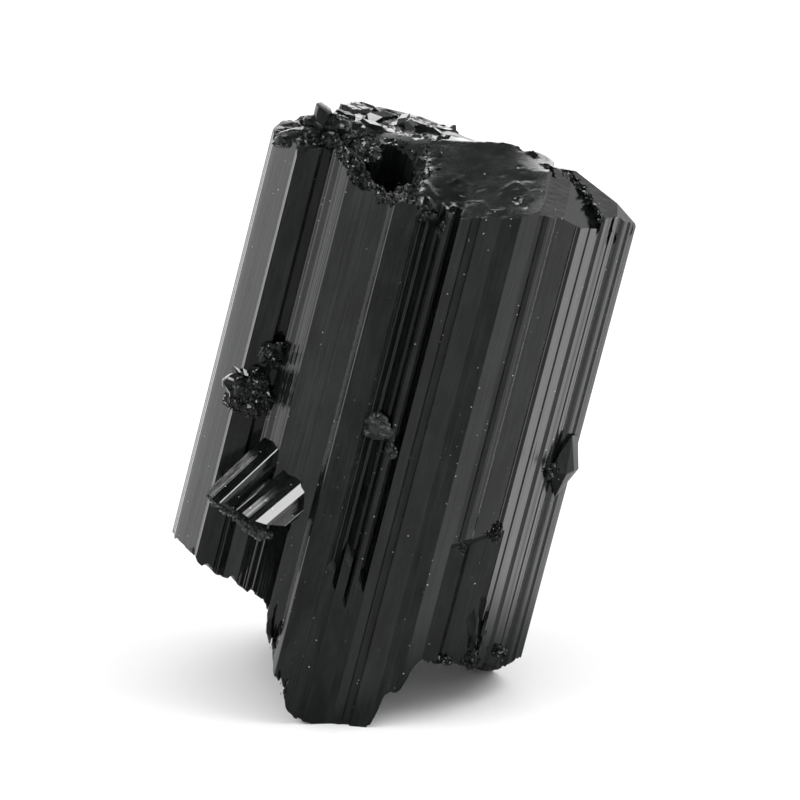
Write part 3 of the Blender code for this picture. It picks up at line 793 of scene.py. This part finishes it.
# --------------------
# Crown blades: flat little schorls lying on and beside the bright plates, the last to grow there.
# --------------------
# (middle, turn, tip, (length, width, height))
BLADES = [
    ((-9.6, 14.3, 21.9), 5, 0, (2.5, 1.1, 1.6)),
    ((-8.9, 17.9, 22.2), 52, 18, (4.0, 0.9, 1.2)),
    ((-6.7, 18.7, 22.2), 83, -3, (3.4, 0.65, 1.2)),
    ((-5.9, 17.6, 22.1), 70, 35, (2.2, 1.3, 1.2)),
    ((-3.9, 17.5, 22.0), 16, 22, (3.2, 0.9, 1.1)),
    ((-12.4, 15.9, 22.0), 15, 8, (2.0, 0.6, 1.1)),
    ((-7.6, 15.2, 21.9), -35, 15, (1.6, 0.5, 0.8)),
    ((-5.2, 15.3, 21.9), 25, -20, (1.4, 0.5, 0.7)),
    ((-2.6, 14.9, 21.8), 60, 15, (1.5, 0.5, 0.7)),
    ((-10.3, 20.3, 22.0), -15, 12, (2.6, 0.6, 0.9)),
    ((-2.2, 19.4, 21.9), 20, -12, (2.4, 0.6, 0.9)),
    ((2.9, 13.2, 23.5), 40, 10, (1.1, 0.35, 0.8)),
]
# Both ends of a blade are cut off slanting, at this share of its half length.
BLADE_CUT = 0.93
blades = []
for middle, turn, tip, size in BLADES:
    deselect()
    bpy.ops.mesh.primitive_cube_add(size=1.0)
    blade = bpy.context.object
    for end in (-0.5, 0.5):
        cut_flat(blade, (end * BLADE_CUT, 0.0, 0.1), (end, 0.3 * end, 0.25))
    place = Matrix.Translation(middle) @ Matrix.Rotation(math.radians(turn), 4, "Z")
    place = place @ Matrix.Rotation(math.radians(tip), 4, "X") @ Matrix.Diagonal((*size, 1.0))
    blade.data.transform(place)
    apply_modifier(blade, "BEVEL", width=0.035, segments=1)
    blades.append(blade)
crown_blades = join("crown_blades", blades)
face_outwards(crown_blades)
set_down(crown_blades, faces)

# --------------------
# The left rim: a broken stub of schorl that stands up, smooth rounded lumps beside it, and angular
# chunks between them and the hollow.  All of it grew on the columns' ends.
# --------------------
STUB = [(-15.45, 9.6), (-15.1, 8.75), (-14.1, 8.6), (-13.6, 9.4), (-13.9, 10.3), (-15.0, 10.5)]
STUB_LOW, STUB_HIGH = 19.5, 24.9
STUB_TOP = ((-14.5, 9.5, 24.45), (0.30, -0.10, 1.0))
stub = column("rim_stub", STUB, rng, STUB_LOW, STUB_HIGH)
cut_flat(stub, *STUB_TOP)
apply_modifier(stub, "BEVEL", width=0.10, segments=2)
# (middle, half-widths, turn, depth of the chips, grain)
LUMPS_ON_RIM = [
    ((-16.9, 7.9, 21.0), (1.9, 1.25, 0.95), (5, -18, 12), 0.16, 1.2),
    ((-15.2, 8.2, 21.4), (1.3, 1.3, 1.2), (20, -15, 0), 0.26, 1.6),
    ((-13.2, 8.0, 21.6), (1.1, 1.3, 1.2), (0, 10, 40), 0.28, 1.7),
    ((-11.6, 6.6, 20.9), (0.9, 1.0, 1.2), (15, 20, 70), 0.28, 1.7),
    ((-10.2, 6.0, 20.4), (0.7, 1.0, 1.1), (35, 0, 30), 0.28, 1.7),
    ((-8.8, 9.2, 20.8), (1.1, 1.2, 1.2), (0, 0, 0), 0.30, 1.8),
    ((-12.0, 10.4, 22.0), (1.4, 1.3, 0.8), (0, 8, 20), 0.26, 1.6),
    ((-14.6, 12.0, 21.6), (1.6, 1.5, 0.7), (0, -5, 60), 0.22, 1.6),
    ((-14.6, 9.9, 22.4), (1.9, 1.5, 1.1), (0, 12, 20), 0.26, 1.4),
    ((-13.0, 9.6, 22.8), (1.4, 1.4, 1.3), (10, 0, 50), 0.28, 1.5),
]
rim_chunks = [stub]
for i, (middle, half_widths, turn, depth, grain) in enumerate(LUMPS_ON_RIM):
    block = rough_ball(f"rim_chunk_{i}", (0.0, 0.0, 0.0), half_widths, 80.0 + i, depth, grain)
    tilt = Euler([math.radians(angle) for angle in turn]).to_matrix().to_4x4()
    block.data.transform(Matrix.Translation(middle) @ tilt)
    rim_chunks.append(block)
rim_chunks = join("rim_chunks", rim_chunks)
RIM_CREASE = math.radians(24.0)
pick(rim_chunks)
bpy.ops.object.shade_smooth_by_angle(angle=RIM_CREASE)
rim_stone = schorl("rim_stone", (0.0038, 0.0047, 0.0044), (0.0080, 0.0096, 0.0090), roughness=0.22,
                   dull=0.42, grit=0.020, grit_scale=5.0, density=1.9, specular=0.36)
set_down(rim_chunks, rim_stone)

# --------------------
# The two perched crystals: short ribbed schorls that grew askew on the front, broken off below,
# where a band of sparkling grains runs across both their ends.
# --------------------
SECTION_DEPTH = Vector((0.0, 0.9432, -0.3323))


def askew(start, direction):
    """The frame of a small crystal: Z along it, Y into the depth of its drawn section."""
    along = direction.normalized()
    into = (SECTION_DEPTH - along * SECTION_DEPTH.dot(along)).normalized()
    axes = Matrix((into.cross(along), into, along)).transposed().to_4x4()
    return Matrix.Translation(start) @ axes


# (name, broken end, direction, length, section)
PERCHED = [
    ("left_perched_crystal", (-14.8, 0.4, -15.07), (0.512, 0.551, 0.659), 12.2,
     [(-1.62, 0.20, 0.30, 1.0), (-0.73, -0.72, 0.40, 1.0), (0.10, -1.06), (0.21, -1.05, 0.40, 2.0),
      (1.60, -0.12, 0.2, 5), (1.75, 0.9), (0.9, 2.2), (-1.1, 1.9)]),
    ("right_perched_crystal", (-10.5, -1.1, -15.46), (0.535, 0.614, 0.579), 9.8,
     [(-2.25, 0.55), (-2.17, 0.483, 0.14, 3), (-1.60, 0.276, 0.12, 4), (-1.33, 0.05), (-1.28, 0.03),
      (-1.0, -0.205), (-0.90, -0.241), (-0.86, -0.275, 0.12, 12), (-0.15, -0.533, 0.5, 0.5),
      (0.80, -0.483, 0.13, 7), (2.05, 0.457), (2.12, 0.47), (2.3, 1.2), (1.2, 2.5), (-1.4, 2.3)]),
]
BROKEN_END = ((-16.3, 0.0, -14.75), (-0.14, 0.0, -1.0))
BEHIND = 2.0
crusty = schorl("crust_grains", (0.020, 0.023, 0.022), (0.050, 0.055, 0.053), roughness=0.10,
                dull=0.25, grit=0.020, grit_scale=6.0, density=4.5, amount=0.9)
rng = random.Random(5)
for name, start, direction, length, section in PERCHED:
    crystal = column(name, section, rng, -BEHIND, length)
    crystal.data.transform(askew(Vector(start), Vector(direction)))
    cut_flat(crystal, *BROKEN_END)
    set_down(crystal, faces)
# The band of grains: (middle, half-widths).
CRUST = [((-13.9, 1.5, -16.0), (2.4, 1.0, 0.75)), ((-10.9, 0.4, -17.1), (2.2, 1.0, 0.75))]
CRUST_TILT = math.radians(22.0)
GRAINS_EACH = 330
SMALLEST, LARGEST = 0.12, 0.40
for i, (middle, half_widths) in enumerate(CRUST):
    core = rough_ball(f"crust_{i}", (0.0, 0.0, 0.0), half_widths, 120.0 + i, depth=0.35, grain=2.6)
    core.data.transform(Matrix.Translation(middle) @ Matrix.Rotation(CRUST_TILT, 4, "Y"))
    spots = spots_on(core, GRAINS_EACH, lambda centre, normal: normal.y < 0.4, rng)
    skin = grains_at(f"crust_grains_{i}", spots, SMALLEST, LARGEST, rng)
    set_down(join(f"perched_crust_{i + 1}", [core, skin]), crusty)

# --------------------
# Crumbly lumps: heaps of small schorl grains that grew on the columns' sides and edges.  Some
# sparkle, some are duller, and two are faintly green.
# --------------------
crumbly = schorl("crumbly_grains", (0.0095, 0.0130, 0.0115), (0.018, 0.024, 0.021), roughness=0.32,
                 dull=0.55, grit=0.03, grit_scale=8.0, density=3.0)
# (name, middle, half-widths, chip depth, grains, smallest, largest, finish)
LUMPS = [
    ("sparkling_lump", (-14.9, 4.9, -4.7), (2.75, 1.7, 2.4), 0.45, 520, 0.12, 0.46, sparkling),
    ("lump_above", (-13.3, 5.4, -0.7), (1.3, 1.4, 1.55), 0.50, 130, 0.12, 0.42, rim_stone),
    ("green_patch", (-1.9, 1.2, -3.9), (2.1, 0.85, 1.3), 0.45, 260, 0.08, 0.30, crumbly),
    ("green_knob", (0.35, 1.1, -5.8), (0.62, 0.8, 0.8), 0.45, 80, 0.08, 0.28, crumbly),
    ("edge_crumbs", (16.3, 8.3, -6.0), (0.75, 0.7, 0.95), 0.45, 90, 0.10, 0.34, rim_stone),
    ("ledge_nib", (12.7, 3.6, -12.3), (0.50, 0.50, 1.0), 0.50, 90, 0.10, 0.30, sparkling),
    ("corner_crumbs", (13.2, 4.9, -26.6), (1.2, 0.7, 1.0), 0.55, 160, 0.12, 0.42, rim_stone),
    ("chip_crumbs", (10.6, 3.6, -26.9), (1.1, 0.6, 0.45), 0.55, 110, 0.10, 0.34, rim_stone),
    ("heel_crumbs", (15.8, 7.6, -26.0), (1.3, 0.6, 0.7), 0.55, 150, 0.10, 0.34, rim_stone),
    ("foot_nib", (7.0, 1.0, -24.6), (0.45, 0.45, 0.8), 0.45, 60, 0.10, 0.26, sparkling),
    ("top_edge_crumbs", (-2.5, 1.0, 19.2), (1.15, 0.55, 0.95), 0.55, 150, 0.08, 0.32, rim_stone),
    ("top_edge_nib", (-0.3, 0.9, 18.0), (0.38, 0.40, 0.8), 0.50, 60, 0.08, 0.24, sparkling),
]


def on_front(centre, normal):
    """Tell a lump's sides that look away from the columns; the first lump's far left is bare."""
    bare = centre.x <= -15.4 and centre.z >= -5.6
    return normal.y < 0.5 and not bare


for i, (name, middle, half_widths, depth, count, small, large, finish) in enumerate(LUMPS):
    core = rough_ball(name + "_core", middle, half_widths, 90.0 + 2 * i, depth, grain=2.2)
    skin = grains_at(name + "_grains", spots_on(core, count, on_front, rng), small, large, rng)
    set_down(join(name, [core, skin]), finish)
for grain in chunks:
    bpy.data.objects.remove(grain, do_unlink=True)

# --------------------
# The edge crystal: a small blunt schorl that grew askew on the right edge, with a wedge-shaped
# lower end.  Its few flat faces are shaped as the hull of its corners.
# --------------------
EDGE_CORNERS = [
    (17.0, 9.3, -2.8), (17.6, 9.0, -2.2), (19.1, 9.6, -5.7), (18.7, 8.2, -5.5), (18.0, 7.6, -5.9),
    (16.8, 8.2, -4.2), (16.4, 8.2, -6.3), (17.5, 9.1, -9.2), (18.2, 11.2, -2.8), (18.6, 11.3, -6.2),
    (16.4, 10.6, -6.6),
]
deselect()
bpy.ops.mesh.primitive_circle_add(vertices=len(EDGE_CORNERS), radius=1.0)
edge_crystal = bpy.context.object
edge_crystal.name = "edge_crystal"
for vert, corner in zip(edge_crystal.data.vertices, EDGE_CORNERS):
    vert.co = corner
open_mesh()
bpy.ops.mesh.convex_hull()
close_mesh()
apply_modifier(edge_crystal, "BEVEL", width=0.03, segments=1)
face_outwards(edge_crystal)
set_down(edge_crystal, faces)

# --------------------
# The studio: a plain white floor, a soft white tent that is brighter at its sides and behind than in
# front, two small softboxes and two lamps.  The glossy faces mirror the tent, and close to the foot a
# painted reflection of the floor's shadow: a dim glow on the floor that only glossy rays see.
# --------------------
deselect()
bpy.ops.mesh.primitive_plane_add(size=6.0)
floor = bpy.context.object
floor.name = "studio_floor"
paper = bpy.data.materials.new("white_paper")
paper.use_nodes = True
tree = paper.node_tree
shader = tree.nodes["Principled BSDF"]
shader.inputs["Base Color"].default_value = (0.93, 0.93, 0.93, 1.0)
shader.inputs["Roughness"].default_value = 0.9
# Painted shadow in reflections: to glossy rays the floor near the foot is a dim glow, fading out
# farther off, where those rays pass through to the tent.
PAINTED_SHADOW_NEAR, PAINTED_SHADOW_FAR = 0.016, 0.034
PAINTED_SHADOW_GLOW = 0.16
spot = tree.nodes.new("ShaderNodeTexCoord")
distance = node_of(tree, "ShaderNodeVectorMath", [(0, spot.outputs["Object"])], operation="LENGTH")
open_floor = fade(tree, distance.outputs["Value"], PAINTED_SHADOW_NEAR, PAINTED_SHADOW_FAR)
dim = node_of(tree, "ShaderNodeEmission", Strength=PAINTED_SHADOW_GLOW)
gone = tree.nodes.new("ShaderNodeBsdfTransparent")
painted_shadow_in_mirrors = node_of(tree, "ShaderNodeMixShader",
                   [(0, open_floor), (1, dim.outputs[0]), (2, gone.outputs[0])])
path = tree.nodes.new("ShaderNodeLightPath")
both = node_of(tree, "ShaderNodeMixShader",
               [(0, path.outputs["Is Glossy Ray"]), (1, shader.outputs[0]), (2, painted_shadow_in_mirrors.outputs[0])])
tree.links.new(both.outputs[0], tree.nodes["Material Output"].inputs["Surface"])
floor.data.materials.append(paper)

world = bpy.data.worlds.new("light_tent")
bpy.context.scene.world = world
world.use_nodes = True
world.cycles.sampling_method = "NONE"
tree = world.node_tree
background = tree.nodes["Background"]
background.inputs["Color"].default_value = (1.0, 1.0, 1.0, 1.0)
direction = tree.nodes.new("ShaderNodeTexCoord")
parts = node_of(tree, "ShaderNodeSeparateXYZ", [(0, direction.outputs["Generated"])])


def ring_light(bearing, stops, scale=4.0):
    """Look a brightness up along a ring of (bearing, brightness) stops."""
    ramp = tree.nodes.new("ShaderNodeValToRGB")
    ramp.color_ramp.interpolation = "EASE"
    for place, _ in stops[1:-1]:
        ramp.color_ramp.elements.new(place)
    for element, (_, value) in zip(ramp.color_ramp.elements, stops):
        element.color = (value / scale, value / scale, value / scale, 1.0)
    tree.links.new(bearing, ramp.inputs[0])
    return sum_of(tree, "MULTIPLY", ramp.outputs[0], scale)


# Bearings run from 0 straight behind, by the left at a quarter and the front at a half, and back.
LOW_RING = [(0.0, 0.8), (0.045, 1.5), (0.10, 1.7), (0.14, 1.5), (0.165, 1.35), (0.195, 1.1),
            (0.235, 1.7), (0.27, 1.25), (0.33, 0.42), (0.39, 0.50), (0.43, 0.42), (0.475, 0.27),
            (0.5, 0.26), (0.56, 0.36), (0.67, 0.88), (0.75, 1.6), (0.815, 2.1), (0.85, 1.3),
            (0.90, 0.62), (0.95, 0.45), (1.0, 0.8)]
HIGH_RING = [(0.0, 3.5), (0.07, 3.2), (0.12, 2.3), (0.165, 1.1), (0.235, 1.7), (0.33, 0.5),
             (0.5, 0.3), (0.67, 0.7), (0.8, 0.7), (0.90, 0.70), (0.925, 0.52), (0.955, 3.0), (1.0, 3.5)]
bearing = sum_of(tree, "ARCTAN2", parts.outputs[0], sum_of(tree, "MULTIPLY", parts.outputs[1], -1.0))
bearing = sum_of(tree, "MULTIPLY_ADD", bearing, 0.5 / math.pi, 0.5)
low_light = ring_light(bearing, LOW_RING)
high_light = ring_light(bearing, HIGH_RING)
# The low ring passes into the high one near the horizon, and the tent's roof is dark.
HORIZON, ROOF = (-0.22, -0.04), (0.515, 0.595)
ROOF_LIGHT = 0.05
upward = fade(tree, parts.outputs[2], *HORIZON)
overhead = fade(tree, parts.outputs[2], *ROOF, 1.0, ROOF_LIGHT)
tent = sum_of(tree, "MULTIPLY_ADD", sum_of(tree, "SUBTRACT", high_light, low_light), upward, low_light)
tent = sum_of(tree, "MULTIPLY", tent, overhead)

# Two bright softboxes, one up in front and one up behind: (towards it, inner and outer half-angle,
# brightness).  They give the small crystals and the grains their glints.
SOFTBOXES = [((0.59, -0.53, 0.61), 11.0, 17.0, 11.0), ((-0.34, 0.33, 0.88), 7.0, 11.0, 6.0)]
for towards, inner, outer, brightness in SOFTBOXES:
    facing = node_of(tree, "ShaderNodeVectorMath", [(0, direction.outputs["Generated"])],
                     operation="DOT_PRODUCT")
    facing.inputs[1].default_value = Vector(towards).normalized()
    edge, core = math.cos(math.radians(outer)), math.cos(math.radians(inner))
    glow = fade(tree, facing.outputs["Value"], edge, core, 0.0, brightness)
    tent = sum_of(tree, "ADD", tent, glow)
# Mirrored, the tent shows its bright and dark parts; all else sees it plain white.
path = tree.nodes.new("ShaderNodeLightPath")
unlike = sum_of(tree, "SUBTRACT", tent, 1.0)
tree.links.new(sum_of(tree, "MULTIPLY_ADD", unlike, path.outputs["Is Glossy Ray"], 1.0),
               background.inputs["Strength"])

# (name, place, power)
LAMPS = [("left_softbox", (-0.40, -0.10, 0.46), 1.2), ("right_softbox", (0.40, -0.06, 0.46), 1.6)]
LAMP_SIZE = 0.36
for name, place, power in LAMPS:
    light = bpy.data.lights.new(name, "AREA")
    light.energy = power
    light.size = LAMP_SIZE
    lamp = bpy.data.objects.new(name, light)
    bpy.context.scene.collection.objects.link(lamp)
    lamp.location = place
    lamp.rotation_euler = (-Vector(place)).to_track_quat("-Z", "Y").to_euler()
    lamp.visible_glossy = False

# The camera looks down at 20 degrees through a long lens.
CAMERA_ELEVATION = math.radians(20.0)
CAMERA_DISTANCE = 0.888
CAMERA_LENS = 400.0
AIM = Vector((0.0, 6.0, -2.1))
ahead = Vector((0.0, math.cos(CAMERA_ELEVATION), -math.sin(CAMERA_ELEVATION)))
target = stand @ AIM
camera = bpy.data.objects.new("camera", bpy.data.cameras.new("camera"))
bpy.context.scene.collection.objects.link(camera)
camera.data.lens = CAMERA_LENS
camera.data.clip_start = 0.01
camera.location = target - ahead * CAMERA_DISTANCE
camera.rotation_euler = ahead.to_track_quat("-Z", "Y").to_euler()
bpy.context.scene.camera = camera
bpy.context.scene.view_settings.view_transform = "Standard"
